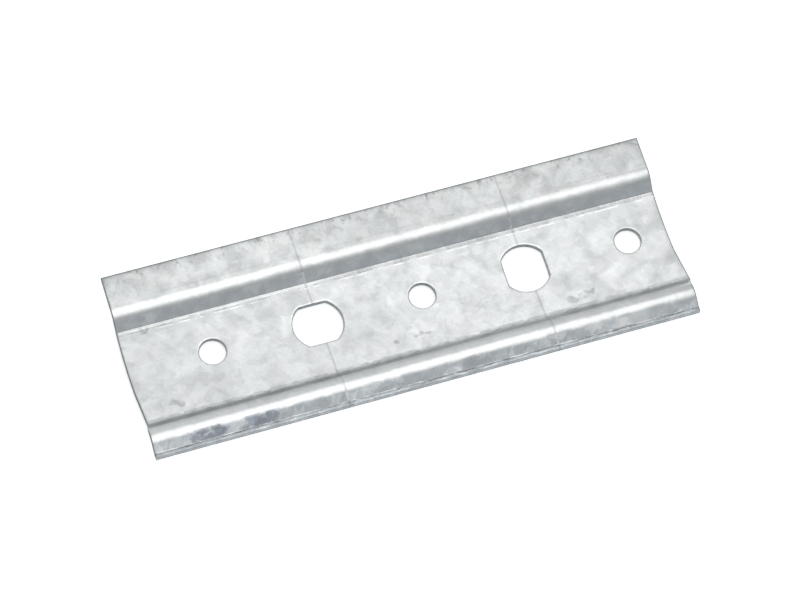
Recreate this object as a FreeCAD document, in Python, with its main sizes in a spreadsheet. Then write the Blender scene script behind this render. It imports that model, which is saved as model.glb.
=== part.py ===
import FreeCAD, Part
import math
import os
import Sketcher

# A mounting strip: a short length of galvanised steel sheet, formed along its length,
# punched with five holes and cut off at both ends.
#
# X runs along the strip and Y across it, with the wide flange on +Y. Z is up. The origin is on
# the axis of the middle screw hole, at the underside of the plate, which is the face the strip
# rests on. All lengths are in millimetres and all angles in degrees.

vector = FreeCAD.Vector

# Every size of the strip: its name, its value, and what it measures.
strip_sizes = [
    ("sheetThickness", 1.5, "the sheet"),
    ("stepHeight", 3.0, "the wide flange above the plate"),
    ("stepAngle", 42.0, "slope of the step up to the wide flange"),
    ("flangeWidth", 9.7, "wide flange, from the corner of the step to its edge"),
    ("plateToStep", 10.15, "from the row of holes to the foot of the step"),
    ("plateToRidge", 13.15, "from the row of holes to the foot of the ridge"),
    ("ridgeHeight", 3.0, "the top of the ridge above the plate"),
    ("ridgeAngle", 53.0, "slope of the ridge on the plate's side"),
    ("ridgeFlat", 0.1, "level top of the ridge between its two bends"),
    ("lipDrop", 1.6, "from the top of the ridge down to the lip"),
    ("lipAngle", 30.0, "slope from the ridge down to the lip"),
    ("lipWidth", 1.1, "level lip along the edge beyond the ridge"),
    ("stepRadius", 2.9, "inside radius of the bend at the top of the step"),
    ("creaseRadius", 0.4, "inside radius of the sharp creases, at the step's foot and the lip"),
    ("hollowRadius", 1.35, "inside radius of the hollow at the foot of the ridge"),
    ("shoulderRadius", 1.05, "inside radius of the ridge on the plate's side"),
    ("browRadius", 2.4, "inside radius of the ridge on the lip's side"),
    ("holePitch", 25.0, "from one hole to the next along the strip"),
    ("screwHoleDiameter", 6.2, "round holes, for 6 mm screws"),
    ("latchHoleDiameter", 11.7, "double-D holes, across the round sides"),
    ("latchFlatDepth", 0.9, "double-D holes, how far each flat stands in from the round side"),
    ("holeRollover", 0.25, "rounding that the punch leaves round the top of each hole"),
    ("leftEnd", 19.78, "from the last screw hole to the left end"),
    ("rightEnd", 9.75, "from the last screw hole to the right end"),
    ("cutDip", 0.2, "how far the cuts bow to the left across the plate"),
    ("cutDipEnd", 5.0, "from the row of holes to where that bow ends"),
    ("leftPeak", 0.8, "how far the left cut runs to the right at the foot of the ridge"),
    ("leftReturn", 0.25, "how far it is still to the right beyond the ridge"),
    ("rightPeak", 1.3, "how far the right cut runs to the right at the foot of the ridge"),
    ("rightReturn", 0.5, "how far it is still to the right beyond the ridge"),
    ("trimAllowance", 2.0, "extra sheet at each end, which the cuts take off"),
]


def make_sheet(document):
    """Write each size into the sheet and give its cell the size's name."""
    sheet = document.addObject("Spreadsheet::Sheet", "sizes")
    for row, (name, value, meaning) in enumerate(strip_sizes, start=1):
        sheet.set(f"A{row}", meaning)
        sheet.set(f"B{row}", str(value))
        sheet.setAlias(f"B{row}", name)
    return sheet


def origin_feature(body, role):
    """The plane or axis of the body's own origin that has this role."""
    return next(feature for feature in body.Origin.OriginFeatures if feature.Role == role)


def new_sketch(body, name, plane, along="0"):
    """A sketch on one of the body's planes, moved along X by a length worked out from the sheet."""
    sketch = body.newObject("Sketcher::SketchObject", name)
    sketch.AttachmentSupport = [(origin_feature(body, plane), "")]
    sketch.MapMode = "FlatFace"
    sketch.setExpression("AttachmentOffset.Base.x", along)
    return sketch


def add_loop(sketch, pieces):
    """Add lines and arcs that follow each other and join each end to the next start."""
    indices = [sketch.addGeometry(piece, False) for piece in pieces]
    for index, following in zip(indices, indices[1:] + indices[:1]):
        sketch.addConstraint(Sketcher.Constraint("Coincident", index, 2, following, 1))
    return indices


def add_size(sketch, expression, value, kind, *where):
    """Add a dimension to the sketch and tie it to the sheet."""
    index = sketch.addConstraint(Sketcher.Constraint(kind, *where, value))
    sketch.setExpression(f"Constraints[{index}]", expression)


def lines_through(corners):
    """The straight lines of a closed outline."""
    return [
        Part.LineSegment(vector(*start), vector(*end))
        for start, end in zip(corners, corners[1:] + corners[:1])
    ]


def cut_through(body, sketch, name):
    """Cut the sketch's outline through the sheet, above and below the sketch."""
    pocket = body.newObject("PartDesign::Pocket", name)
    pocket.Profile = sketch
    pocket.Type = "ThroughAll"
    pocket.Midplane = True
    return pocket


# The section


def section_runs(size):
    """The straight runs of the section's upper face, from the wide flange to the lip.

    Each run is the expressions of its width and its drop, and its slope towards the lip.
    """
    step = "sizes.stepHeight"
    ridge = "sizes.ridgeHeight"
    drop = "sizes.lipDrop"
    shoulder = "(sizes.shoulderRadius + sizes.sheetThickness) * tan(sizes.ridgeAngle / 2)"
    brow = "(sizes.browRadius + sizes.sheetThickness) * tan(sizes.lipAngle / 2)"
    return [
        ("sizes.flangeWidth", None, 0.0),
        (f"{step} / tan(sizes.stepAngle)", step, size("stepAngle")),
        ("sizes.plateToStep + sizes.plateToRidge", None, 0.0),
        (f"{ridge} / tan(sizes.ridgeAngle)", f"-{ridge}", -size("ridgeAngle")),
        (f"sizes.ridgeFlat + {shoulder} + {brow}", None, 0.0),
        (f"{drop} / tan(sizes.lipAngle)", drop, size("lipAngle")),
        ("sizes.lipWidth", None, 0.0),
    ]


def section_corners(size):
    """The corners of the section as (y, z), before the bends are rounded.

    The upper corners run from the wide flange to the lip, and each lower corner is the upper
    one moved by the sheet's thickness along the line that halves the bend.
    """
    thickness = size("sheetThickness")

    def tangent(angle):
        return math.tan(math.radians(size(angle)))

    shoulder = (size("shoulderRadius") + thickness) * math.tan(math.radians(size("ridgeAngle") / 2))
    brow = (size("browRadius") + thickness) * math.tan(math.radians(size("lipAngle") / 2))
    widths_and_drops = [
        (size("flangeWidth"), 0.0),
        (size("stepHeight") / tangent("stepAngle"), size("stepHeight")),
        (size("plateToStep") + size("plateToRidge"), 0.0),
        (size("ridgeHeight") / tangent("ridgeAngle"), -size("ridgeHeight")),
        (size("ridgeFlat") + shoulder + brow, 0.0),
        (size("lipDrop") / tangent("lipAngle"), size("lipDrop")),
        (size("lipWidth"), 0.0),
    ]
    edge_y = size("plateToStep") + widths_and_drops[0][0] + widths_and_drops[1][0]
    upper = [(edge_y, thickness + size("stepHeight"))]
    for width, drop in widths_and_drops:
        last_y, last_z = upper[-1]
        upper.append((last_y - width, last_z - drop))

    slopes = [math.atan2(drop, width) for width, drop in widths_and_drops]
    lower = []
    for (y, z), before, after in zip(upper, slopes[:1] + slopes, slopes + slopes[-1:]):
        middle = (before + after) / 2
        reach = thickness / math.cos((before - after) / 2)
        lower.append((y + reach * math.sin(middle), z - reach * math.cos(middle)))
    return upper, lower


def make_section(body, size):
    """The closed outline of the section, in the plane across the strip."""
    sketch = new_sketch(body, "section", "YZ_Plane")
    upper, lower = section_corners(size)
    corners = [(y, z, 0) for y, z in upper + lower[::-1]]
    lines = add_loop(sketch, lines_through(corners))
    runs = section_runs(size)
    top_lines = lines[: len(runs)]
    lip_end = lines[len(runs)]
    bottom_lines = lines[len(runs) + 1 : -1][::-1]
    flange_end = lines[-1]
    sketch.addConstraint(Sketcher.Constraint("Vertical", lip_end))
    sketch.addConstraint(Sketcher.Constraint("Vertical", flange_end))

    for number, (width, drop, _) in enumerate(runs):
        top = top_lines[number]
        (start_y, start_z), (end_y, end_z) = upper[number], upper[number + 1]
        add_size(sketch, width, start_y - end_y, "DistanceX", top, 2, top, 1)
        if drop:
            add_size(sketch, drop, start_z - end_z, "DistanceY", top, 2, top, 1)
        else:
            sketch.addConstraint(Sketcher.Constraint("Horizontal", top))
        bottom = bottom_lines[number]
        sketch.addConstraint(Sketcher.Constraint("Parallel", top, bottom))
        add_size(sketch, "sizes.sheetThickness", size("sheetThickness"), "Distance", bottom, 1, top)

    plate = top_lines[2]
    step_y, plate_z = upper[2]
    add_size(sketch, "sizes.plateToStep", step_y, "DistanceX", -1, 1, plate, 1)
    add_size(sketch, "sizes.sheetThickness", plate_z, "DistanceY", -1, 1, plate, 1)
    return sketch, runs, upper, lower


def edges_at(shape, corners):
    """The names of the edges that run along the strip through these corners of the section."""
    names = []
    for number, edge in enumerate(shape.Edges, start=1):
        ends = [vertex.Point for vertex in edge.Vertexes]
        along = len(ends) == 2 and (ends[0] - ends[1]).cross(vector(1, 0, 0)).Length < 1e-6
        if along and any(math.hypot(ends[0].y - y, ends[0].z - z) < 1e-4 for y, z in corners):
            names.append(f"Edge{number}")
    return names


def round_edges(body, name, edges, expression):
    """Round these edges of the body's newest feature to a radius worked out from the sheet."""
    base = body.Tip
    fillet = body.newObject("PartDesign::Fillet", name)
    fillet.Base = (base, edges)
    fillet.setExpression("Radius", expression)
    body.Document.recompute()
    return fillet


def round_bends(body, runs, upper, lower):
    """Round the section's six bends: the outside of a bend is the inside radius plus the sheet."""
    radii = [
        "stepRadius", "creaseRadius", "hollowRadius", "shoulderRadius", "browRadius", "creaseRadius",
    ]
    for radius in dict.fromkeys(radii):
        inside, outside = [], []
        for bend in range(1, len(runs)):
            if radii[bend - 1] != radius:
                continue
            slopes_more = runs[bend][2] > runs[bend - 1][2]
            (outside if slopes_more else inside).append(upper[bend])
            (inside if slopes_more else outside).append(lower[bend])
        edges = edges_at(body.Tip.Shape, inside)
        round_edges(body, f"{radius}_inside", edges, f"sizes.{radius}")
        edges = edges_at(body.Tip.Shape, outside)
        round_edges(body, f"{radius}_outside", edges, f"sizes.{radius} + sizes.sheetThickness")


def form_sheet(body, size):
    """The formed sheet, before it is cut off and punched."""
    sketch, runs, upper, lower = make_section(body, size)
    pad = body.newObject("PartDesign::Pad", "formed_sheet")
    pad.Profile = sketch
    pad.SideType = "Two sides"
    pad.setExpression("Length", "2 * sizes.holePitch + sizes.rightEnd + sizes.trimAllowance")
    pad.setExpression("Length2", "2 * sizes.holePitch + sizes.leftEnd + sizes.trimAllowance")
    body.Document.recompute()
    round_bends(body, runs, upper, lower)


# The ends


def cut_end(body, size, end, along, side):
    """Cut off one end, which is left or right. side is -1 for the left end and 1 for the right.

    The blade that parts the strips leaves the same line at both ends: it bows to the left
    across the plate and swings to the right at the foot of the ridge, at the right end further.
    """
    sketch = new_sketch(body, f"{end}_end_line", "XY_Plane", along)
    dip, peak, back = size("cutDip"), size(f"{end}Peak"), size(f"{end}Return")
    step_y, dip_end_y, ridge_y = size("plateToStep"), -size("cutDipEnd"), -size("plateToRidge")
    shoulder_y = ridge_y - size("ridgeHeight") / math.tan(math.radians(size("ridgeAngle")))
    clear_y = 2 * (step_y - ridge_y)
    waste_x = side * 2 * size("trimAllowance")

    corners = [
        (0, clear_y, 0), (0, step_y, 0), (0, dip_end_y, 0), (peak, ridge_y, 0),
        (back, shoulder_y, 0), (back, -clear_y, 0), (waste_x, -clear_y, 0), (waste_x, clear_y, 0),
    ]
    pieces = lines_through(corners)
    bow_top = vector(-dip, (step_y + dip_end_y) / 2, 0)
    pieces[1] = Part.Arc(vector(*corners[1]), bow_top, vector(*corners[2]))
    far, bow, rise, fall, near, near_side, waste, far_side = add_loop(sketch, pieces)

    for line in (far, near, waste):
        sketch.addConstraint(Sketcher.Constraint("Vertical", line))
    for line in (near_side, far_side):
        sketch.addConstraint(Sketcher.Constraint("Horizontal", line))
    sketch.addConstraint(Sketcher.Constraint("PointOnObject", far, 2, -2))
    sketch.addConstraint(Sketcher.Constraint("PointOnObject", bow, 2, -2))
    clear = "2 * (sizes.plateToStep + sizes.plateToRidge)"
    add_size(sketch, "sizes.plateToStep", step_y, "DistanceY", -1, 1, bow, 1)
    add_size(sketch, "sizes.cutDipEnd", -dip_end_y, "DistanceY", bow, 2, -1, 1)
    add_size(sketch, clear, clear_y, "DistanceY", -1, 1, far, 1)
    add_size(sketch, clear, clear_y, "DistanceY", near, 2, -1, 1)
    chord = "(sizes.plateToStep + sizes.cutDipEnd)"
    bow_radius = ((step_y - dip_end_y) ** 2 / 4 + dip**2) / (2 * dip)
    bow_expression = f"({chord}^2 / 4 + sizes.cutDip^2) / (2 * sizes.cutDip)"
    add_size(sketch, bow_expression, bow_radius, "Radius", bow)
    add_size(sketch, f"sizes.{end}Peak", peak, "DistanceX", -1, 1, rise, 2)
    add_size(sketch, "sizes.plateToRidge", -ridge_y, "DistanceY", rise, 2, -1, 1)
    add_size(sketch, f"sizes.{end}Return", back, "DistanceX", -1, 1, fall, 2)
    shoulder = "sizes.plateToRidge + sizes.ridgeHeight / tan(sizes.ridgeAngle)"
    add_size(sketch, shoulder, -shoulder_y, "DistanceY", fall, 2, -1, 1)
    first, second = ((-1, 1), (waste, 1)) if side > 0 else ((waste, 1), (-1, 1))
    add_size(sketch, "2 * sizes.trimAllowance", abs(waste_x), "DistanceX", *first, *second)
    cut_through(body, sketch, f"{end}_end")


# The holes


def punch_screw_holes(body, size):
    """The three round holes, two pitches apart, with the middle one on the origin."""
    sketch = new_sketch(body, "screw_hole_outline", "XY_Plane", "-2 * sizes.holePitch")
    radius = size("screwHoleDiameter") / 2
    circle = sketch.addGeometry(Part.Circle(vector(0, 0, 0), vector(0, 0, 1), radius), False)
    sketch.addConstraint(Sketcher.Constraint("Coincident", circle, 3, -1, 1))
    add_size(sketch, "sizes.screwHoleDiameter", 2 * radius, "Diameter", circle)
    hole = cut_through(body, sketch, "screw_hole")
    body.Document.recompute()
    row = body.newObject("PartDesign::LinearPattern", "screw_hole_row")
    row.Originals = [hole]
    row.Direction = (origin_feature(body, "X_Axis"), [""])
    row.setExpression("Length", "4 * sizes.holePitch")
    row.Occurrences = 3
    body.Tip = row


def punch_latch_hole(body, size, name, pitches, turn):
    """One double-D hole, this many pitches from the middle hole, with its flats turned about Z."""
    sketch = new_sketch(body, f"{name}_outline", "XY_Plane", f"{pitches} * sizes.holePitch")
    sketch.AttachmentOffset = FreeCAD.Placement(
        sketch.AttachmentOffset.Base, FreeCAD.Rotation(vector(0, 0, 1), turn)
    )
    radius = size("latchHoleDiameter") / 2
    flat_y = radius - size("latchFlatDepth")
    flat_x = math.sqrt(radius**2 - flat_y**2)
    right = Part.Arc(vector(flat_x, -flat_y, 0), vector(radius, 0, 0), vector(flat_x, flat_y, 0))
    left = Part.Arc(vector(-flat_x, flat_y, 0), vector(-radius, 0, 0), vector(-flat_x, -flat_y, 0))
    above = Part.LineSegment(vector(flat_x, flat_y, 0), vector(-flat_x, flat_y, 0))
    below = Part.LineSegment(vector(-flat_x, -flat_y, 0), vector(flat_x, -flat_y, 0))
    right, above, left, below = add_loop(sketch, [right, above, left, below])
    for arc in (right, left):
        sketch.addConstraint(Sketcher.Constraint("Coincident", arc, 3, -1, 1))
    for line in (above, below):
        sketch.addConstraint(Sketcher.Constraint("Horizontal", line))
    add_size(sketch, "sizes.latchHoleDiameter", 2 * radius, "Diameter", right)
    to_flat = "sizes.latchHoleDiameter / 2 - sizes.latchFlatDepth"
    add_size(sketch, to_flat, flat_y, "DistanceY", -1, 1, above, 1)
    add_size(sketch, to_flat, flat_y, "DistanceY", below, 1, -1, 1)
    cut_through(body, sketch, name)


def round_hole_rims(body, size):
    """Round the upper rim of each hole, where the punch drew the sheet in."""
    screw_reach, latch_reach = size("screwHoleDiameter") / 2, size("latchHoleDiameter") / 2
    reaches = {-2: screw_reach, -1: latch_reach, 0: screw_reach, 1: latch_reach, 2: screw_reach}
    names = []
    for number, edge in enumerate(body.Tip.Shape.Edges, start=1):
        box = edge.BoundBox
        on_top = abs(box.ZMin - size("sheetThickness")) < 1e-4 and box.ZLength < 1e-4
        for pitches, reach in reaches.items():
            middle = pitches * size("holePitch")
            in_reach = max(abs(box.XMin - middle), abs(box.XMax - middle), abs(box.YMin), abs(box.YMax))
            if on_top and in_reach < reach + 1e-3:
                names.append(f"Edge{number}")
    round_edges(body, "hole_rollover", names, "sizes.holeRollover")


# The whole strip


def make_strip(document):
    """Form the sheet, cut off its ends and punch its holes."""
    sheet = make_sheet(document)
    document.recompute()

    def size(name):
        return float(getattr(sheet, name))

    body = document.addObject("PartDesign::Body", "mounting_strip")
    body.Label = "mounting_strip"
    form_sheet(body, size)
    formed = body.Tip.Shape.Volume
    cut_end(body, size, "left", "-(2 * sizes.holePitch + sizes.leftEnd)", -1)
    cut_end(body, size, "right", "2 * sizes.holePitch + sizes.rightEnd", 1)
    document.recompute()
    trimmed = body.Tip.Shape.Volume
    punch_screw_holes(body, size)
    punch_latch_hole(body, size, "latch_hole_lengthwise", -1, 0)
    punch_latch_hole(body, size, "latch_hole_crosswise", 1, 90)
    document.recompute()
    punched = body.Tip.Shape.Volume
    round_hole_rims(body, size)
    document.recompute()
    print(f"volume formed {formed:.1f}, trimmed {trimmed:.1f}, punched {punched:.1f}")
    if not formed > trimmed > punched > body.Tip.Shape.Volume:
        raise RuntimeError("a cut took nothing off the strip")
    return body


os.makedirs("parts", exist_ok=True)
strip_document = FreeCAD.newDocument("mounting_strip")
strip = make_strip(strip_document)

for feature in strip_document.Objects:
    if "Invalid" in feature.State or "Error" in feature.State:
        raise RuntimeError(f"{feature.Name} failed: {feature.State}")
if strip.Shape.isNull() or not strip.Shape.isValid() or len(strip.Shape.Solids) != 1:
    raise RuntimeError("the strip is not one valid solid")

box = strip.Shape.BoundBox
print(f"length {box.XLength:.2f}, width {box.YLength:.2f}, height {box.ZLength:.2f}")
strip.Shape.exportStep(f"parts/{strip.Label}.step")
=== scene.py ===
import math

import bpy
import numpy as np
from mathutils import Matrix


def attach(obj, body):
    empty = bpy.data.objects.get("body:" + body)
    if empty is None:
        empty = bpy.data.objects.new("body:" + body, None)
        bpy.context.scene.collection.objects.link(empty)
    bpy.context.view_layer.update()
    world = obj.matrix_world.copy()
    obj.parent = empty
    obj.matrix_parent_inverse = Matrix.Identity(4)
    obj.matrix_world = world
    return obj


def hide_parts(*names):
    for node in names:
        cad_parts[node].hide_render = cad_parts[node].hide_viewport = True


# The look of a galvanised steel mounting strip. The strip is made as its sheet is: a flat blank
# with five holes is laid out on a grid, and the grid is carried along the formed section.
# Lengths in the dictionaries are millimetres and angles are degrees.

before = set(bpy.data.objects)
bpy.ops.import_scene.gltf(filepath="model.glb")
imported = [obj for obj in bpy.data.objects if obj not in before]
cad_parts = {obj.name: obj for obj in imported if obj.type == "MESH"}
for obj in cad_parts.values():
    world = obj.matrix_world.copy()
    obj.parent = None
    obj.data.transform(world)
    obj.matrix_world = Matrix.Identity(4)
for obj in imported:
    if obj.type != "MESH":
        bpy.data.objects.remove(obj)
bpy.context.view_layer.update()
print("frame loaded:", sorted(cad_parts))

mm = 0.001


# Camera, floor and lights

studio = {
    "cameraPlace": (-145.196, -286.271, 763.313),
    "cameraTurn": (22.44857, -3.57901, -17.43314),
    "cameraLens": 162.3158,
    "floorSize": 6000.0,
    "floorColour": (0.9, 0.905, 0.91, 1.0),
    "floorRoughness": 0.9,
    "floorGlow": 0.55,
    "skyColour": (0.372, 0.389, 0.398, 1.0),
}

softLights = [
    # name, place, size, what it points at, strength in watts
    ("overheadLight", (90.0, -70.0, 900.0), (900.0, 600.0), (0.0, 0.0, 0.0), 2.4),
    ("farFill", (60.0, 829.0, 559.0), (900.0, 850.0), (0.0, 0.0, 0.0), 0.95),
]


def makeCamera(look):
    data = bpy.data.cameras.new("photoCamera")
    data.sensor_width = 36.0
    data.lens = look["cameraLens"]
    data.clip_start, data.clip_end = 0.01, 50.0
    camera = bpy.data.objects.new("photoCamera", data)
    camera.location = [mm * v for v in look["cameraPlace"]]
    camera.rotation_euler = [math.radians(v) for v in look["cameraTurn"]]
    bpy.context.scene.collection.objects.link(camera)
    bpy.context.scene.camera = camera


def makeLights(lights):
    for name, place, size, target, watts in lights:
        data = bpy.data.lights.new(name, "AREA")
        data.shape = "RECTANGLE"
        data.size, data.size_y = size[0] * mm, size[1] * mm
        data.energy = watts
        light = bpy.data.objects.new(name, data)
        light.location = [mm * v for v in place]
        away = light.location - type(light.location)([mm * v for v in target])
        light.rotation_euler = away.to_track_quat("Z", "Y").to_euler()
        bpy.context.scene.collection.objects.link(light)


def makeSky(look):
    world = bpy.data.worlds.new("studioSky")
    world.use_nodes = True
    background = world.node_tree.nodes["Background"]
    background.inputs["Color"].default_value = look["skyColour"]
    bpy.context.scene.world = world


def makeFloor(look):
    half = look["floorSize"] / 2 * mm
    mesh = bpy.data.meshes.new("floor")
    corners = [(-half, -half, 0), (half, -half, 0), (half, half, 0), (-half, half, 0)]
    mesh.from_pydata(corners, [], [(0, 1, 2, 3)])
    floor = bpy.data.objects.new("floor", mesh)
    bpy.context.scene.collection.objects.link(floor)
    paper = bpy.data.materials.new("palePaper")
    paper.use_nodes = True
    shader = paper.node_tree.nodes["Principled BSDF"]
    shader.inputs["Base Color"].default_value = look["floorColour"]
    shader.inputs["Roughness"].default_value = look["floorRoughness"]
    shader.inputs["Emission Color"].default_value = (1.0, 1.0, 1.0, 1.0)
    shader.inputs["Emission Strength"].default_value = look["floorGlow"]
    mesh.materials.append(paper)


makeCamera(studio)
makeLights(softLights)
makeSky(studio)
makeFloor(studio)
bpy.context.scene.view_settings.view_transform = "Standard"
print("camera, lights and floor made")


# The formed sheet

stripForm = {
    "sheet": 1.5,
    "stepHeight": 3.0, "stepAngle": 42.0, "flangeWidth": 9.7,
    "plateToStep": 10.15, "plateToRidge": 13.15,
    "ridgeHeight": 3.0, "ridgeAngle": 53.0, "ridgeFlat": 0.1,
    "lipDrop": 1.6, "lipAngle": 30.0, "lipWidth": 1.1,
    "bendRadii": (2.9, 0.4, 1.35, 1.05, 2.4, 0.4),  # inside, from the wide flange to the lip
    "leftEnd": -69.78, "rightEnd": 59.75,
    "cutDip": 0.2, "cutDipEnd": 5.0,  # the cuts bow to the left across the plate
    "leftCut": (0.8, 0.25), "rightCut": (1.3, 0.5),  # to the right, at and beyond the ridge's foot
    "leftCutReach": 10.0, "rightCutReach": 4.5,  # how far in from an end the grid follows its cut
    "holes": (  # place along the strip, radius, half width over the flats, turn of the flats
        (-50.0, 3.1, None, 0.0), (-25.0, 5.85, 4.95, 90.0), (0.0, 3.1, None, 0.0),
        (25.0, 5.85, 4.95, 0.0), (50.0, 3.1, None, 0.0),
    ),
    "gridStep": 0.5, "bendStep": 0.14,  # spacing of the grid on flats and in bends
    "evenHalf": 9.0,  # the rows are evenly spaced this far to both sides of the holes
    "roundSquare": 5.0, "flatSquare": 8.0,  # half the square left out of the grid round a hole
    "ringShares": (0.0, 0.06, 0.15, 0.27, 0.42, 0.6, 0.8),  # rings from the hole to the square
    "rimInset": 0.3,  # the grid stops this far inside every edge
    "skin": 0.995,  # share of the half thickness, so that the sheet lies just inside the solid
}

rimProfile = {
    "rollover": 0.25,  # rounding on the upper side, where the punch or blade drew the sheet in
    "breakDepth": 0.8,  # depth where the smooth part of the cut ends and the torn part starts
    "breakSlant": 0.02,  # how far the torn part leans back into the sheet
    "ragged": 0.02, "breakWave": 0.12,  # how uneven the wall is, and the line where it tore
    "waves": (7, 13, 23, 37, 61),  # waves round an edge that make it uneven
    "endDull": -0.05, "holeDull": 0.06, "dullOver": 0.12,  # depth where bare steel comes in
    "nearEdgeZinc": 0.6,  # share of zinc left on the near edge, down to where it tore
}


def sectionTable(form):
    # The middle line of the sheet across the strip. Its slope against the length along the
    # sheet is level on a straight run and changes evenly over a bend, so each bend is an arc of
    # the inside radius plus half the sheet. Its place is the running sum of cosine and sine.
    def tangent(name, half=1.0):
        return math.tan(math.radians(form[name]) * half)

    sheet, radii = form["sheet"], np.array(form["bendRadii"])
    top = form["ridgeFlat"] + (radii[3] + sheet) * tangent("ridgeAngle", 0.5)
    top += (radii[4] + sheet) * tangent("lipAngle", 0.5)
    runs = np.array([
        (form["flangeWidth"], 0.0),
        (form["stepHeight"] / tangent("stepAngle"), form["stepHeight"]),
        (form["plateToStep"] + form["plateToRidge"], 0.0),
        (form["ridgeHeight"] / tangent("ridgeAngle"), -form["ridgeHeight"]),
        (top, 0.0),
        (form["lipDrop"] / tangent("lipAngle"), form["lipDrop"]),
        (form["lipWidth"], 0.0),
    ])
    start = (form["plateToStep"] + runs[0, 0] + runs[1, 0], sheet + form["stepHeight"])
    upper = np.vstack([start, start - np.cumsum(runs, axis=0)])
    slopes = np.arctan2(runs[:, 1], runs[:, 0])
    before, after = np.r_[slopes[0], slopes], np.r_[slopes, slopes[-1]]
    halfway = (before + after) / 2
    reach = sheet / 2 / np.cos((before - after) / 2)
    middle = upper + reach[:, None] * np.c_[np.sin(halfway), -np.cos(halfway)]

    turns = np.abs(np.diff(slopes))
    radius = radii + sheet / 2
    tangents = np.r_[0.0, radius * np.tan(turns / 2), 0.0]
    straights = np.hypot(*np.diff(middle, axis=0).T) - tangents[:-1] - tangents[1:]
    lengths = np.empty(2 * len(straights) - 1)
    lengths[0::2], lengths[1::2] = straights, radius * turns
    keys = np.r_[0.0, np.cumsum(lengths)]
    keySlopes = np.repeat(slopes, 2)

    along = np.linspace(0.0, keys[-1], 6001)
    slope = np.interp(along, keys, keySlopes)
    step = np.diff(along)
    cosine, sine = np.cos(slope), np.sin(slope)
    y = middle[0, 0] - np.r_[0.0, np.cumsum(step * (cosine[1:] + cosine[:-1]) / 2)]
    z = middle[0, 1] - np.r_[0.0, np.cumsum(step * (sine[1:] + sine[:-1]) / 2)]
    # the blank's own coordinate across the strip is y on the plate
    across = np.interp(0.0, -y, along) - along
    # where each bend starts and ends on the blank, from the wide flange to the lip
    bends = (np.interp(0.0, -y, along) - keys[1:-1]).reshape(-1, 2).tolist()
    return {"across": across[::-1], "y": y[::-1], "z": z[::-1], "slope": slope[::-1],
            "bends": bends}


def gridRows(form, section):
    # Rows lie gridStep apart on the flats and bendStep apart in the bends: they are evenly
    # spaced in the running sum of one over the wanted spacing.
    across, slope = section["across"], section["slope"]
    bent = np.abs(np.gradient(slope, across)) > 1e-3
    reach = int(form["rimInset"] / (across[1] - across[0]))
    bent = np.convolve(bent, np.ones(2 * reach + 1), "same") > 0
    count = np.cumsum((across[1] - across[0]) / np.where(bent, form["bendStep"], form["gridStep"]))
    inset, even = form["rimInset"], form["evenHalf"]
    parts = []
    for low, high in ((across[0] + inset, -even), (even, across[-1] - inset)):
        first, last = np.interp((low, high), across, count)
        marks = np.linspace(first, last, int(math.ceil(last - first)) + 1)
        parts.append(np.interp(marks, count, across))
    plate = np.arange(-even, even + 1e-6, form["gridStep"])
    return np.r_[parts[0][:-1], plate, parts[1][1:]]


def cutShift(form, y, cut):
    # How far the cut at an end wanders along the strip: across the plate it bows to the left,
    # as one minus the square of the share of the half width, and then it runs straight to its
    # peak at the foot of the ridge and back. The peak is blunted a little.
    low, high = -form["cutDipEnd"], form["plateToStep"]
    share = (2 * y - low - high) / (high - low)
    bow = -form["cutDip"] * np.clip(1 - share ** 2, 0, None)
    foot = -form["plateToRidge"]
    top = foot - form["ridgeHeight"] / math.tan(math.radians(form["ridgeAngle"]))
    peak, beyond = cut
    return bow + np.interp(y, (top, foot - 0.15, foot + 0.15, low),
                           (beyond, peak - 0.04, peak - 0.04, 0.0))


def holeRadius(angle, radius, flat, turn):
    # A round hole, or a round hole cut off by two flats: the nearer of circle and flat, with
    # the corner between them slightly rounded by a high power mean.
    if flat is None:
        return np.full_like(angle, radius)
    straight = flat / np.maximum(np.abs(np.cos(angle - math.radians(turn))), 1e-3)
    return (radius ** -60.0 + straight ** -60.0) ** (-1 / 60.0)


def loopQuads(ids):
    # the quads between closed loops of points, which lie one above the other in the rows
    nextIds = np.roll(ids, -1, axis=1)
    return np.stack([ids[:-1], ids[1:], nextIds[1:], nextIds[:-1]], axis=-1).reshape(-1, 4)


def holeRings(form, hole, corner):
    # Rings from a hole's outline to the square round it: in the direction of each corner of the
    # grid, a ring lies at its share of the way. The wall's outward side faces the hole's middle,
    # or squarely across on a flat.
    place, radius, flat, turn = hole
    angle = np.arctan2(corner[:, 1], corner[:, 0])
    inner = holeRadius(angle, radius, flat, turn) + form["rimInset"]
    shares = np.array(form["ringShares"])
    distance = inner[None, :] + shares[:, None] * (np.hypot(*corner.T) - inner)[None, :]
    rings = np.stack([place + distance * np.cos(angle), distance * np.sin(angle)], axis=-1)
    outward = -np.c_[np.cos(angle), np.sin(angle)]
    if flat is not None:
        turnBy = math.radians(turn)
        onFlat = np.abs(np.cos(angle - turnBy)) * radius > flat + 0.02
        side = np.sign(np.cos(angle - turnBy))[:, None]
        squarely = -side * [math.cos(turnBy), math.sin(turnBy)]
        outward = np.where(onFlat[:, None], squarely, outward)
    return rings, outward


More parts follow.
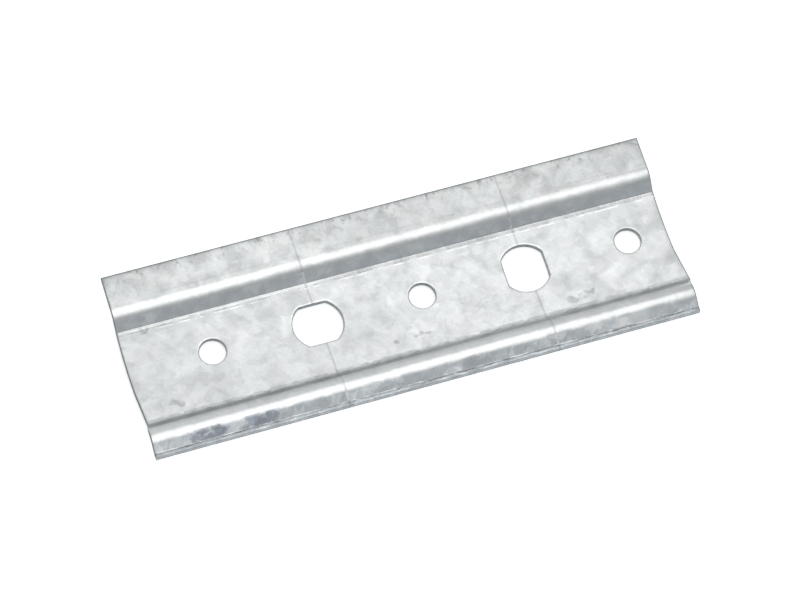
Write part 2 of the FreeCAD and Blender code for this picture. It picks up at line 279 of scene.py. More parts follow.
def blankMesh(form, section):
    # The flat blank: a grid of columns and rows. Round each hole a square of the grid is left
    # out, and rings fill it that pass evenly from the hole's outline to the square's sides.
    inset, step = form["rimInset"], form["gridStep"]
    left, right = form["leftEnd"], form["rightEnd"]
    columns = np.r_[left + inset, np.arange(math.ceil((left + inset) / step + 0.4) * step,
                                            right - inset - 0.2, step), right - inset]
    rows = gridRows(form, section)
    index = np.arange(len(columns) * len(rows)).reshape(len(columns), len(rows))
    x, w = np.meshgrid(columns, rows, indexing="ij")
    y = np.interp(w, section["across"], section["y"])
    leftShare = np.clip(1 - (x - left) / form["leftCutReach"], 0, 1)
    rightShare = np.clip(1 - (right - x) / form["rightCutReach"], 0, 1)
    shift = cutShift(form, y, form["leftCut"]) * leftShare
    shift += cutShift(form, y, form["rightCut"]) * rightShare
    points = [np.c_[(x + shift).ravel(), w.ravel()]]
    total = x.size

    keep = np.ones((len(columns) - 1, len(rows) - 1), bool)
    middleX = (columns[:-1] + columns[1:]) / 2
    middleW = (rows[:-1] + rows[1:]) / 2
    quads, rims = [], []
    for hole in form["holes"]:
        place = hole[0]
        half = form["roundSquare"] if hole[2] is None else form["flatSquare"]
        inX, inW = np.abs(middleX - place) < half, np.abs(middleW) < half
        keep &= ~(inX[:, None] & inW[None, :])
        i = np.flatnonzero(np.abs(columns - place) < half + 1e-6)
        j = np.flatnonzero(np.abs(rows) < half + 1e-6)
        border = np.r_[index[i[:-1], j[0]], index[i[-1], j[:-1]],
                       index[i[:0:-1], j[-1]], index[i[0], j[:0:-1]]]
        rings, outward = holeRings(form, hole, points[0][border] - (place, 0.0))
        points.append(rings.reshape(-1, 2))
        size = len(points[-1])
        ids = np.vstack([total + np.arange(size).reshape(rings.shape[:2]), border])
        total += size
        quads.append(loopQuads(ids))
        rims.append((ids[0, ::-1], outward[::-1]))

    a, b = index[:-1, :-1][keep], index[1:, :-1][keep]
    c, d = index[1:, 1:][keep], index[:-1, 1:][keep]
    quads.insert(0, np.c_[a, b, c, d])
    edge = np.r_[index[:-1, 0], index[-1, :-1], index[:0:-1, -1], index[0, :0:-1]]
    outX = np.r_[-1.0, np.zeros(len(columns) - 2), np.ones(len(rows)),
                 np.zeros(len(columns) - 2), -np.ones(len(rows) - 1)]
    outW = np.r_[-np.ones(len(columns)), np.zeros(len(rows) - 2), np.ones(len(columns)),
                 np.zeros(len(rows) - 2)]
    rims.insert(0, (edge, np.c_[outX, outW]))
    return np.vstack(points), np.vstack(quads), rims


def rimSteps(form, rim):
    # The cut edge from the upper side to the lower: a quarter circle of rollover, a smooth
    # wall, a torn part that leans back, and the lower edge. Each step is how far it lies
    # outwards of the grid's last row and how deep below the upper side.
    reach, roll, sheet = form["rimInset"], rim["rollover"], form["sheet"]
    turn = np.radians([0.0, 22.5, 45.0, 67.5, 90.0])
    outs = list(reach - roll + roll * np.sin(turn))
    depths = list(roll - roll * np.cos(turn))
    outs += [reach, reach - rim["breakSlant"] * 0.6, reach - rim["breakSlant"], reach - 0.05]
    depths += [rim["breakDepth"], rim["breakDepth"] + 0.2, sheet - 0.04, sheet]
    return np.array(outs), np.array(depths)


def carryOver(form, section, points, out, outwards, depth):
    # Take a place on the blank to the formed strip. The blank's middle line is looked up in
    # the section; the sheet's own normal carries the depth, and the outward step lies along
    # the sheet.
    x, w = points[:, 0], points[:, 1]
    y = np.interp(w, section["across"], section["y"])
    z = np.interp(w, section["across"], section["z"])
    slope = np.interp(w, section["across"], section["slope"])
    lift = (form["sheet"] / 2 - depth) * form["skin"]
    sideways = out * outwards[:, 1]
    return np.c_[x + out * outwards[:, 0],
                 y + sideways * np.cos(slope) - lift * np.sin(slope),
                 z + sideways * np.sin(slope) + lift * np.cos(slope)]


def wrapSheet(form, rim, section):
    # The whole skin: the upper side, the lower side, and a wall round every edge and hole that
    # joins them. For each point it also gives how far it is bare steel and how far it shines.
    points, quads, rims = blankMesh(form, section)
    used, quads = np.unique(quads, return_inverse=True)
    quads = quads.reshape(-1, 4)
    renumber = np.full(len(points), -1)
    renumber[used] = np.arange(len(used))
    points = points[used]
    count = len(points)
    sheet = form["sheet"]
    still = np.zeros((count, 2))

    places = [carryOver(form, section, points, 0.0, still, 0.0),
              carryOver(form, section, points, 0.0, still, sheet)]
    blank = [points, points]
    faces, faceSide = [quads, quads[:, ::-1] + count], [np.zeros(len(quads)), np.ones(len(quads))]
    cut, shine = [np.zeros(2 * count)], [np.zeros(2 * count)]
    total = 2 * count
    outs, depths = rimSteps(form, rim)
    wallTop = len(outs) - 4  # the step where the smooth wall ends
    source = np.random.default_rng(5)
    for number, (loop, outward) in enumerate(rims):
        loop = renumber[loop]
        if number == 0:
            # the ends and the far edge are dull from the top, and the near edge is bare down to
            # where it tore, so that the lip looks wider
            dullFrom = rim["endDull"]
            bright = np.clip(-outward[:, 1], 0, 1)
        else:
            # the rim catches the light on the far side of a hole
            dullFrom, bright = rim["holeDull"], 0.0
            shine[0][loop] = np.clip(-outward[:, 1] * 1.5 - 0.2, 0, 1)
        ids = [loop]
        length = np.arange(len(loop)) / len(loop) * 2 * math.pi
        uneven = sum(np.sin(k * length + source.uniform(0, 6.3)) for k in rim["waves"]) / 3
        for step in range(1, len(outs)):
            wander = rim["ragged"] * (1.0 if depths[step] > 0.5 * sheet else 0.25)
            out = outs[step] - wander * np.abs(uneven)
            atBreak = step in (wallTop, wallTop + 1)
            depth = depths[step] + (rim["breakWave"] * uneven if atBreak else 0.0)
            places.append(carryOver(form, section, points[loop], out, outward, depth))
            blank.append(points[loop] + outs[step] * outward * 0.5)
            dull = np.clip((depths[step] - dullFrom) / rim["dullOver"], 0, 1)
            torn = depths[step] > rim["breakDepth"] + 0.1
            zinc = 0.0 if torn else rim["nearEdgeZinc"] * bright
            cut.append(dull * (1 - zinc) * np.ones(len(loop)))
            shine.append(bright * (depths[step] < 0.3) * np.ones(len(loop)))
            ids.append(total + np.arange(len(loop)))
            total += len(loop)
        ids.append(loop + count)
        wall = loopQuads(np.array(ids))
        faces.append(wall)
        faceSide.append(np.zeros(len(wall)))
    return {"places": np.vstack(places), "blank": np.vstack(blank), "faces": np.vstack(faces),
            "faceSide": np.concatenate(faceSide), "cutEdge": np.concatenate(cut),
            "rimShine": np.concatenate(shine)}


def makeStrip(form, rim, section):
    skin = wrapSheet(form, rim, section)
    faces = skin["faces"]
    mesh = bpy.data.meshes.new("strip_sheet")
    mesh.from_pydata(skin["places"] * mm, [], faces.tolist())
    # the place on the blank, in millimetres, with the underside drawn beside the upper side
    layout = mesh.uv_layers.new(name="blankPlace")
    corners = skin["blank"][faces.ravel()]
    corners[:, 1] += 90.0 * np.repeat(skin["faceSide"], 4)
    layout.data.foreach_set("uv", corners.astype(np.float32).ravel())
    for name in ("cutEdge", "rimShine"):
        mesh.attributes.new(name, "FLOAT", "POINT").data.foreach_set(
            "value", skin[name].astype(np.float32))
    mesh.polygons.foreach_set("use_smooth", np.ones(len(faces), bool))
    mesh.set_sharp_from_angle(angle=math.radians(40))
    mesh.validate()
    strip = bpy.data.objects.new("strip_sheet", mesh)
    bpy.context.scene.collection.objects.link(strip)
    print(f"strip: {len(faces) * 2} triangles")
    return strip


# Galvanised finish

zincLook = {
    "colour": (0.808, 0.814, 0.812, 1.0),
    "roughness": 0.37,
    "grainSize": 4.6, "fineGrainSize": 1.7,  # the zinc's crystals
    "grainTilt": 0.024, "fineGrainTilt": 0.026,  # how far a crystal turns the surface
    "waveSize": 15.0, "waveTilt": 0.05,  # long waves that rolling left in the sheet
    "warmTint": (1.006, 0.995, 0.993, 1.0), "coolTint": (0.986, 1.001, 1.003, 1.0),
    "lipTint": (0.94, 0.99, 1.03, 1.0),
    "steepShadeTint": (0.74, 0.785, 0.82, 1.0),  # painted shade on the steep sides, with a bluish painted reflection
    "ridgeFacets": (0.37, 0.40, 0.46, 1.0),  # dark crystals on the near slope, at the left
    "creaseShadeAndGrime": (0.27, 0.32, 0.30, 1.0),  # painted shade, with grime, in the crease at the foot of the ridge
    "cutColour": (0.19, 0.205, 0.22, 1.0),
    "cutWear": (0.30, 0.32, 0.34, 1.0),  # where zinc was drawn over the cut
}

strengths = {
    # how much a layer darkens or lightens the zinc, as a share
    "mottle": 0.09, "speck": 0.06, "streak": 0.08, "facets": 0.06,
    "patches": 0.29, "flangePatches": 0.15, "patchEdges": 0.025,
    "stains": 0.09, "edgeStains": 0.3, "farRimShade": 0.12, "farRimLine": 0.36,
    "corner": 0.1, "cornerMottle": 0.14, "greyFlange": 0.1, "paleFlange": 0.035, "plateShade": 0.08,
    "scribe": 0.14, "scribeGlintOnSteep": 0.7, "faintLine": 0.1, "scratch": 0.14, "smudge": 0.3,
    "press": 0.22, "betweenPress": 0.19, "rolledLine": 0.07, "stepFoot": 0.15,
    "stepGlint": 0.2, "stepPaintedLight": 0.08, "stepCloud": 0.16, "slopePaintedLight": 0.13,
    "scuff": 0.35, "rubbed": 0.35, "worn": 0.26, "wiped": 0.13,
    "bendShadeRight": 0.14, "bendPatches": 0.3, "steepPatches": 0.5, "slopeShards": 0.5,
    "rimShine": 0.25, "lip": 0.46, "lipStreaks": 0.9, "lipLine": 0.42, "lipNicks": 0.3,
    # how far a colour covers the zinc
    "creaseShadeAndGrime": 0.66, "grimeSpots": 0.36, "darkCrystals": 0.82,
}

fades = {
    # from where to where along the strip a layer comes in, or goes out if its name says End
    "greyFlange": (-28.0, -12.0), "paleFlangeEnd": (-52.0, -28.0), "cornerEnd": (-62.0, -20.0),
    "plateShadeEnd": (-30.0, 40.0), "stepPaintedLightEnd": (10.0, 35.0), "slopePaintedLight": (5.0, 30.0),
    "firstPressEnd": (-28.0, -12.0), "betweenPressEnd": (-10.0, 5.0), "stepFoot": (-30.0, -5.0),
    "bendShadeRight": (50.0, 60.0), "creaseShadeAndGrimeEnd": (-58.0, -5.0), "moreCreaseShadeAndGrime": (20.0, 50.0),
}

surfaceMarks = {
    # scribed across the whole strip: place at the row of holes, and lean
    "scribedLines": ((-24.64, -0.030), (25.33, -0.035)), "scribeWidth": 0.34,
    "faintLine": (-50.4, 0.066), "faintWidth": 0.7,
    # from one point of the plate to another
    "scratches": (((17.8, -3.8), (9.8, -7.5)), ((9.5, -8.4), (13.0, -11.1))), "scratchWidth": 0.2,
    # middle on the plate, half length and half width
    "smudges": ((-3.6, -9.2, 0.9, 0.8), (-1.4, -9.4, 1.5, 0.7), (-9.5, -9.4, 1.2, 0.5),
                (33.4, -10.4, 1.9, 0.7), (37.2, -10.1, 1.6, 0.8), (38.6, -9.3, 0.8, 0.6),
                (-63.5, 9.0, 1.1, 0.7), (-61.0, -9.6, 1.6, 0.8)),
    # dark crystals on the near slope: middle along the strip, half length, strength
    "darkPatches": ((-56.4, 4.8, 1.0), (-44.0, 4.9, 1.0), (-33.5, 4.0, 0.25), (6.0, 4.0, 0.3)),
    # painted glints: lighter places on the step, written the same way
    "stepGlints": ((-60.7, 3.5, 1.0), (-26.2, 3.2, 1.0)),
    # left by the tool beside the step: place on the plate and half width
    "pressLines": ((9.72, 0.13), (8.95, 0.1)),
}


class Shade:
    # One socket of the node tree. Sums, differences and products of it add Math nodes.
    def __init__(self, tree, socket=None):
        self.tree, self.socket = tree, socket

    def node(self, kind, settings=None, inputs=None, output=0):
        made = self.tree.nodes.new(kind)
        for name, value in (settings or {}).items():
            setattr(made, name, value)
        for name, value in (inputs or {}).items():
            if isinstance(value, Shade):
                self.tree.links.new(value.socket, made.inputs[name])
            else:
                made.inputs[name].default_value = value
        return Shade(self.tree, made.outputs[output])

    def feed(self, socket):
        self.tree.links.new(self.socket, socket)

    def maths(self, operation, first, second=0.0):
        return self.node("ShaderNodeMath", {"operation": operation}, {0: first, 1: second})

    def __add__(self, other):
        return self.maths("ADD", self, other)

    def __radd__(self, other):
        return self.maths("ADD", other, self)

    def __sub__(self, other):
        return self.maths("SUBTRACT", self, other)

    def __rsub__(self, other):
        return self.maths("SUBTRACT", other, self)

    def __mul__(self, other):
        return self.maths("MULTIPLY", self, other)

    def __rmul__(self, other):
        return self.maths("MULTIPLY", other, self)

    def size(self):
        return self.maths("ABSOLUTE", self)

    def rise(self, low, high):
        # 0 below low, 1 above high, and a smooth step between
        return self.node("ShaderNodeMapRange", {"interpolation_type": "SMOOTHSTEP"},
                         {"Value": self, "From Min": low, "From Max": high})

    def within(self, low, high, soft):
        # 1 between low and high, and 0 beyond them by more than soft
        return self.rise(low - soft, low) * (1 - self.rise(high, high + soft))

    def part(self, index):
        return self.node("ShaderNodeSeparateXYZ", {}, {0: self}, index)

    def vector(self, operation, other):
        return self.node("ShaderNodeVectorMath", {"operation": operation}, {0: self, 1: other})

    def times(self, factor):
        return self.node("ShaderNodeVectorMath", {"operation": "SCALE"}, {0: self, "Scale": factor})

    def blend(self, first, second):
        # this factor takes the first colour to the second
        return self.node("ShaderNodeMix", {"data_type": "RGBA"}, {0: self, 6: first, 7: second}, 2)

    def squeezed(self, x, y):
        # this place with its scale changed: patterns over it get 1 / x long and 1 / y wide
        return self.vector("MULTIPLY", (x, y, 1.0))

    def noise(self, size, detail=3.0, rough=0.5, output=0):
        # soft noise over this place, about 0.5, with patches of this size in millimetres
        return self.node("ShaderNodeTexNoise", {"noise_dimensions": "2D"},
                         {"Vector": self, "Scale": 1 / size, "Detail": detail, "Roughness": rough},
                         output)

    def shifts(self, size, detail=3.0, rough=0.5):
        # a noise of directions, of either sign
        return self.noise(size, detail, rough, 1).vector("SUBTRACT", (0.5, 0.5, 0.5))

    def cells(self, size, output=1):
        # flat crystals over this place: a random colour for each
        return self.node("ShaderNodeTexVoronoi", {"voronoi_dimensions": "2D"},
                         {"Vector": self, "Scale": 1 / size}, output)


class SheetShades:
    # What the layers of the finish share: the place on the blank, noises over it, and masks
    # that are 1 on one part of the strip, found from where the bends lie on the blank.
    def __init__(self, tree, section):
        place = Shade(tree).node("ShaderNodeUVMap", {"uv_map": "blankPlace"})
        across = place.part(1)
        self.place, self.along, self.across = place, place.part(0), across
        self.bends = section["bends"]
        self.lipEdge, self.flangeEdge = section["across"][0], section["across"][-1]
        self.cut = place.node("ShaderNodeAttribute", {"attribute_name": "cutEdge"}, output=2)
        self.rimShine = place.node("ShaderNodeAttribute", {"attribute_name": "rimShine"}, output=2)

        self.bent = place.vector("ADD", place.shifts(4.0).times(3.2))  # for ragged patterns
        self.mottle = self.bent.noise(7.5, 4.0, 0.6).rise(0.42, 0.72)
        self.patches = self.bent.noise(3.8, 6.0, 0.62)
        self.speck = place.noise(0.7, 3.0, 0.6)
        self.dashes = place.squeezed(1.0, 0.25).noise(1.6, 3.0, 0.65)
        self.longDashes = place.squeezed(1.0, 0.25).noise(9.0, 1.0)
        self.wander = self.along + (place.noise(2.0, 4.0, 0.7) - 0.5) * 9.0

        step, stepFoot, hollow, shoulder, brow, lip = self.bends
        self.onFlange = across.within(step[0] - 0.4, self.flangeEdge + 1.0, 0.5)
        self.onStep = across.within(stepFoot[0], step[1], 0.2)
        self.onSlope = across.within(lip[0], brow[1], 0.2)
        self.wideSlope = across.within(lip[0], brow[1] + 0.4, 0.3)
        self.onSteep = self.onStep + self.onSlope
        self.inHollow = across.within(hollow[1], hollow[0] + 0.2, 0.3)
        self.onLip = across.within(self.lipEdge - 1.0, lip[1], 0.2)
        farBend = across.within(step[1], step[0], 0.5)
        self.onTops = across.within(brow[1], shoulder[0], 0.5) + farBend

    def lineMask(self, line, width):
        # 1 on a straight line across the strip
        place, lean = line
        return 1 - (self.along - self.across * lean - place).size().rise(width / 2, width)

    def scratchMask(self, ends, width):
        # 1 on the straight scratch between two points: its length runs along the line, and the
        # distance from the line is taken at a right angle
        (x, y), (endX, endY) = ends
        length = math.hypot(endX - x, endY - y)
        dirX, dirY = (endX - x) / length, (endY - y) / length
        on = (self.along - x) * dirX + (self.across - y) * dirY
        off = (self.along - x) * -dirY + (self.across - y) * dirX
        return (1 - off.size().rise(width / 2, width)) * on.within(0.0, length, 0.6)

    def strokes(self, lean, size):
        # noise drawn out into strokes, which run at a slant across the strip
        turned = self.place.node("ShaderNodeCombineXYZ", {}, {
            "X": self.along + self.across * lean, "Y": (self.across - self.along * lean) * 0.14})
        return turned.noise(size, 2.0)

    def patchMask(self, patches):
        # each patch is a place along the strip, its half length and its strength
        return sum((1 - (self.wander - x).size().rise(half * 0.5, half)) * strength
                   for x, half, strength in patches)


def smudgeMask(ragged, smudge):
    # 1 inside an oval, whose edge is as uneven as the ragged place it is drawn on
    x, y, halfLength, halfWidth = smudge
    dx, dy = (ragged.part(0) - x) * (1 / halfLength), (ragged.part(1) - y) * (1 / halfWidth)
    return 1 - (dx * dx + dy * dy).rise(0.0, 1.7)


def pressMasks(sheet, lines):
    # two broken bright lines beside the step, and the darker gap between them
    (first, firstHalf), (second, secondHalf) = lines
    across, dashes = sheet.across, sheet.dashes
    firstShare = 1 - sheet.along.rise(*fades["firstPressEnd"]) * 0.85
    press = across.within(first - firstHalf, first + firstHalf, 0.1)
    press = press * (0.35 + 0.6 * dashes.rise(0.4, 0.55)) * firstShare
    secondLine = across.within(second - secondHalf, second + secondHalf, 0.1)
    press = press + secondLine * dashes.rise(0.4, 0.54) * sheet.longDashes.rise(0.36, 0.5)
    gap = across.within(second + secondHalf + 0.15, first - firstHalf - 0.15, 0.15)
    return press, gap * dashes.rise(0.4, 0.6)


def zincNormal(sheet, press, look):
    # How the surface is turned: long waves, and each crystal lying at its own small angle. The
    # tool's bright lines and the ragged hollow lean towards the lip or away from it.
    place = sheet.place
    steep = 1 + sheet.wideSlope * 1.6
    grain = sheet.bent.cells(look["grainSize"]).vector("SUBTRACT", (0.5, 0.5, 0.5))
    fine = sheet.bent.cells(look["fineGrainSize"]).vector("SUBTRACT", (0.5, 0.5, 0.5))
    tilt = place.shifts(look["waveSize"], 1.0).times(look["waveTilt"])
    tilt = tilt.vector("ADD", grain.times(steep * look["grainTilt"]))
    tilt = tilt.vector("ADD", fine.times(steep * look["fineGrainTilt"]))
    lean = press * -0.13 + sheet.inHollow * (place.noise(2.6, 5.0, 0.6) - 0.36) * 0.5
    tilt = tilt.vector("ADD", place.node("ShaderNodeCombineXYZ", {}, {"Y": lean}))
    normal = place.node("ShaderNodeNewGeometry", output=1).vector("ADD", tilt)
    pits = place.noise(0.45, 4.0, 0.6) * (1 - sheet.cut) * 0.006
    return place.node("ShaderNodeBump", {}, {
        "Height": pits, "Distance": 0.001, "Strength": 0.6,
        "Normal": normal.vector("NORMALIZE", (0.0, 0.0, 0.0))})


def bareZinc(sheet):
    # mottled, faintly streaked along the strip, in patches and crystals, and a little darker
    # on the near half of the plate
    streak = sheet.place.squeezed(0.1, 1.0).noise(0.5, 3.0, 0.6)
    facets = sheet.bent.cells(4.5).part(0)
    patchShare = strengths["patches"] + sheet.onFlange * strengths["flangePatches"]
    light = 1 - sheet.mottle * strengths["mottle"] - (sheet.speck - 0.5) * strengths["speck"]
    light = light - (streak - 0.5) * strengths["streak"] - (facets - 0.5) * strengths["facets"]
    light = light - (sheet.patches - 0.5) * patchShare
    light = light - sheet.patches.rise(0.5, 0.56) * strengths["patchEdges"]
    nearPlate = sheet.across.within(-13.5, -6.0, 5.0)
    nearPlate = nearPlate * (1 - sheet.along.rise(*fades["plateShadeEnd"]) * 0.4)
    return light * (1 - nearPlate * strengths["plateShade"])


def flangeStains(sheet):
    # stains on the wide flange, most of them along the far edge and in its left corner, and painted
    # shade along the far edge
    along, onFlange = sheet.along, sheet.onFlange
    rim = sheet.flangeEdge - sheet.across
    stains = sheet.bent.squeezed(1.5, 1.0).noise(2.0, 6.0, 0.66).rise(0.5, 0.7) * onFlange
    nearRim = 1 - rim.rise(0.5, 3.5)
    light = 1 - stains * (strengths["stains"] + strengths["edgeStains"] * nearRim)
    # painted shade in a band along the far edge, and a dark line on the edge itself
    rimBand, rimLine = 1 - rim.size().rise(0.0, 1.3), 1 - rim.size().rise(0.2, 0.5)
    light = light * (1 - rimBand * strengths["farRimShade"] - rimLine * strengths["farRimLine"])
    corner = (1 - rim.rise(0.2, 4.5)) * (1 - along.rise(*fades["cornerEnd"])) * onFlange
    cornerShare = strengths["corner"] + sheet.mottle * strengths["cornerMottle"]
    grey = along.rise(*fades["greyFlange"]) * strengths["greyFlange"]
    pale = (1 - along.rise(*fades["paleFlangeEnd"])) * strengths["paleFlange"]
    return light * (1 - corner * cornerShare) * (1 - onFlange * grey) * (1 + onFlange * pale)


def plateMarks(sheet, marks, scribe):
    # scribed lines, with a painted highlight on them on the steep sides, one faint line, scratches
    # and smudges
    light = 1 + scribe * (sheet.onSteep * strengths["scribeGlintOnSteep"] - strengths["scribe"])
    faint = sheet.lineMask(marks["faintLine"], marks["faintWidth"])
    faint = faint * sheet.place.noise(1.8, 3.0).rise(0.45, 0.6)
    faint = faint * sheet.across.within(5.0, sheet.flangeEdge, 0.3)
    scratch = sum(sheet.scratchMask(ends, marks["scratchWidth"]) for ends in marks["scratches"])
    scratch = scratch * sheet.place.noise(1.4, 3.0).rise(0.4, 0.6)
    ragged = sheet.place.vector("ADD", sheet.place.shifts(2.6, 2.0, 0.45).times(3.4))
    smudge = sum(smudgeMask(ragged, one) for one in marks["smudges"])
    light = light * (1 - faint * strengths["faintLine"]) * (1 - scratch * strengths["scratch"])
    return light * (1 - smudge * strengths["smudge"])


def steepSides(sheet, marks):
    # lighter clouds, painted glints and painted light on the step; slanting scuffs, rubbed and worn
    # strokes and crystals on both steep sides, and most of all on the near slope, with painted
    # light
    along, onSlope = sheet.along, sheet.onSlope
    # painted glints and painted light on the step, lighter towards the left end
    glint = sheet.patchMask(marks["stepGlints"]) * strengths["stepGlint"]
    glint = glint + (1 - along.rise(*fades["stepPaintedLightEnd"])) * strengths["stepPaintedLight"]
    cloud = sheet.bent.squeezed(0.6, 1.0).noise(2.2, 5.0, 0.65).rise(0.4, 0.62)
    light = 1 + sheet.onStep * (glint + (cloud - 0.45) * strengths["stepCloud"])
    # painted light on the near slope, more towards the right end
    slopeShare = 0.04 + along.rise(*fades["slopePaintedLight"]) * strengths["slopePaintedLight"]
    light = light * (1 + onSlope * slopeShare)

    here = sheet.place.noise(9.0, 1.0)
    scuff = sheet.strokes(-1.0, 0.6).rise(0.66, 0.75) * sheet.onSteep * here.rise(0.45, 0.6)
    rubbed = sheet.strokes(0.7, 0.8).rise(0.58, 0.68) * onSlope * here.rise(0.4, 0.6)
    worn = sheet.strokes(-0.5, 1.0).rise(0.55, 0.66) * onSlope * (1 - here.rise(0.45, 0.6))
    light = light * (1 + scuff * strengths["scuff"]) * (1 + rubbed * strengths["rubbed"])
    light = light * (1 - worn * strengths["worn"])

    shards = sheet.bent.squeezed(0.6, 1.0).cells(2.2).part(0) - 0.5
    patches = (sheet.patches - 0.5) * strengths["steepPatches"] + shards * 0.12
    return light * (1 - sheet.onSteep * patches) * (1 - onSlope * shards * strengths["slopeShards"])


def wipedStreaks(sheet):
    # faint crossing strokes over the whole sheet, as if it had been wiped
    wiped = (sheet.strokes(0.9, 1.1) - 0.5) * sheet.strokes(-1.1, 1.6).rise(0.35, 0.6)
    return 1 + wiped * strengths["wiped"]


def bendMarks(sheet, press, gap):
    # what the tool left: the lines beside the step and one rolled line beside the far bend; then
    # painted shade on the ragged foot of the step, and painted shade that dims the bends' highlight
    # towards the right end
    along, across = sheet.along, sheet.across
    step, stepFoot = sheet.bends[:2]
    gapShare = strengths["betweenPress"] - along.rise(*fades["betweenPressEnd"]) * 0.06
    light = (1 + press * strengths["press"]) * (1 - gap * gapShare)
    rolled = across.within(step[0] + 1.0, step[0] + 1.25, 0.2)
    rolled = rolled * sheet.longDashes.rise(0.35, 0.55)
    ragged = across + (sheet.place.squeezed(0.4, 1.0).noise(0.7, 4.0, 0.65) - 0.5) * 1.4
    # painted shade in the concave foot of the step, with a ragged edge, more towards the right
    foot = ragged.within(stepFoot[1] - 0.5, stepFoot[0], 0.3)
    foot = foot * (0.06 + along.rise(*fades["stepFoot"]) * strengths["stepFoot"])
    foot = foot * (0.7 + sheet.dashes.rise(0.4, 0.6) * 0.6)
    # painted shade over the tops of the bends, more towards the right end, varied by mottle and
    # patches
    dull = along.rise(*fades["bendShadeRight"]) * strengths["bendShadeRight"] - sheet.mottle * 0.06
    dull = dull - (sheet.patches - 0.5) * strengths["bendPatches"]
    light = light * (1 - rolled * strengths["rolledLine"]) * (1 - foot)
    return light * (1 - sheet.onTops * dull)


def lipMarks(sheet):
    # the lip is darker and streaked, with a broken dark line of painted shade along its bend and
    # bright nicks
    lip = sheet.bends[5]
    drawn = sheet.place.squeezed(0.35, 1.0)
    uneven = sheet.across + (drawn.noise(0.9, 4.0, 0.65) - 0.5) * 0.9
    # painted shade along the lip's concave bend, broken up
    line = uneven.within(lip[1] - 0.15, lip[0] - 0.05, 0.12)
    line = line * (0.12 + drawn.noise(2.2, 3.0, 0.6).rise(0.4, 0.56) * strengths["lipLine"])
    nicks = uneven.within(sheet.lipEdge + 0.2, lip[0] - 0.1, 0.2)
    nicks = nicks * drawn.noise(0.8, 4.0, 0.65).rise(0.55, 0.66)
    streaks = sheet.place.squeezed(0.3, 1.0).noise(0.8, 4.0, 0.7) - 0.5
    light = (1 - line) * (1 - sheet.onLip * strengths["lip"]) * (1 + nicks * strengths["lipNicks"])
    return light * (1 + sheet.onLip * streaks * strengths["lipStreaks"])


def creaseShadeAndGrimeMask(sheet):
    # a dark band of painted shade with a ragged edge along the crease at the foot of the ridge,
    # thinner towards the right until it thickens again, and grime spots beside it
    hollow = sheet.bends[2]
    edge = sheet.across + (sheet.place.noise(2.0, 5.0, 0.7) - 0.5) * 1.5
    creaseShadeAndGrime = edge.within(hollow[1] - 1.3, hollow[0] - 0.85, 0.5)
    creaseShadeAndGrime = creaseShadeAndGrime * (0.75 + sheet.longDashes.rise(0.3, 0.7) * 0.25)
    less, more = sheet.along.rise(*fades["creaseShadeAndGrimeEnd"]), sheet.along.rise(*fades["moreCreaseShadeAndGrime"])
    creaseShadeAndGrime = creaseShadeAndGrime * (1 - less * 0.36 + more * 0.14)
    spots = sheet.place.squeezed(1.0, 0.45).noise(2.6, 4.0).rise(0.54, 0.66)
    spots = spots * sheet.across.within(hollow[0] - 0.8, hollow[0] - 0.25, 0.3)
    return creaseShadeAndGrime * strengths["creaseShadeAndGrime"] + spots * strengths["grimeSpots"]


def cutFaces(sheet, look):
    # bare steel, with zinc drawn over it in places, all through the solid
    inSolid = sheet.place.node("ShaderNodeTexCoord", output=3).times(1 / mm)
    wear = inSolid.node("ShaderNodeTexNoise", {"noise_dimensions": "3D"}, {
        "Vector": inSolid, "Scale": 0.9, "Detail": 4.0, "Roughness": 0.6})
    return wear.rise(0.38, 0.62).blend(look["cutColour"], look["cutWear"])


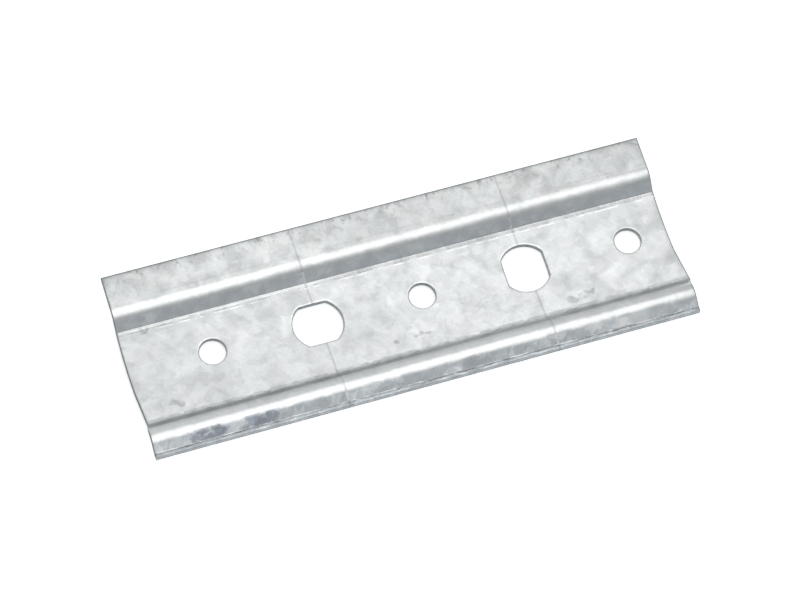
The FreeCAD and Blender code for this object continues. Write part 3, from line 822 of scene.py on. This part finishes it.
def zincColour(sheet, light, marks, look):
    # the zinc's colour times the light layers, then the tints with the painted shade of the steep
    # sides, the painted shade in the ridge's crease, and what lies over the zinc
    tone = sheet.place.node("ShaderNodeVectorMath", {"operation": "SCALE"},
                            {0: look["colour"][:3], "Scale": light})
    tinge = sheet.place.noise(6.0, 3.0).rise(0.35, 0.65) - 0.5
    tinge = tinge * (0.35 + sheet.onFlange * 0.65) + 0.5
    tone = tone.vector("MULTIPLY", tinge.blend(look["warmTint"], look["coolTint"]))
    tone = tone.vector("MULTIPLY", sheet.onLip.blend((1.0, 1.0, 1.0, 1.0), look["lipTint"]))
    # painted shade on the steep sides: the zinc goes towards a darker, bluish copy, more in patches
    steepShare = sheet.onSteep * (0.45 + sheet.patches.rise(0.4, 0.62) * 0.3)
    tone = steepShare.blend(tone, look["steepShadeTint"])
    crystals = sheet.bent.squeezed(0.55, 1.0).noise(2.6, 6.0, 0.7).rise(0.34, 0.5)
    dark = crystals * sheet.patchMask(marks["darkPatches"]) * sheet.wideSlope
    tone = (dark * strengths["darkCrystals"]).blend(tone, look["ridgeFacets"])
    # painted shade in the crease at the foot of the ridge, with grime spots beside it
    tone = creaseShadeAndGrimeMask(sheet).blend(tone, look["creaseShadeAndGrime"])
    return sheet.cut.blend(tone, cutFaces(sheet, look))


def makeZinc(look, marks, section):
    zinc = bpy.data.materials.new("galvanisedZinc")
    zinc.use_nodes = True
    shader = zinc.node_tree.nodes["Principled BSDF"]
    sheet = SheetShades(zinc.node_tree, section)
    press, gap = pressMasks(sheet, marks["pressLines"])
    scribe = sum(sheet.lineMask(line, marks["scribeWidth"]) for line in marks["scribedLines"])
    scribe = scribe * sheet.across.within(sheet.lipEdge, sheet.flangeEdge, 0.1)

    light = bareZinc(sheet) * flangeStains(sheet) * plateMarks(sheet, marks, scribe)
    light = light * steepSides(sheet, marks) * wipedStreaks(sheet)
    light = light * bendMarks(sheet, press, gap) * lipMarks(sheet)
    light = light * (1 + sheet.rimShine * strengths["rimShine"])
    zincColour(sheet, light, marks, look).feed(shader.inputs["Base Color"])

    rough = look["roughness"] + (sheet.speck - 0.5) * (1 - sheet.cut) * 0.12
    rough = rough + sheet.cut * 0.15 + scribe * 0.06 + press * 0.1
    rough.feed(shader.inputs["Roughness"])
    zincNormal(sheet, press, look).feed(shader.inputs["Normal"])
    shader.inputs["Metallic"].default_value = 1.0
    return zinc


section = sectionTable(stripForm)
strip = makeStrip(stripForm, rimProfile, section)
strip.data.materials.append(makeZinc(zincLook, surfaceMarks, section))
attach(strip, "root")
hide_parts("mounting_strip")
print("strip made and finished in zinc")
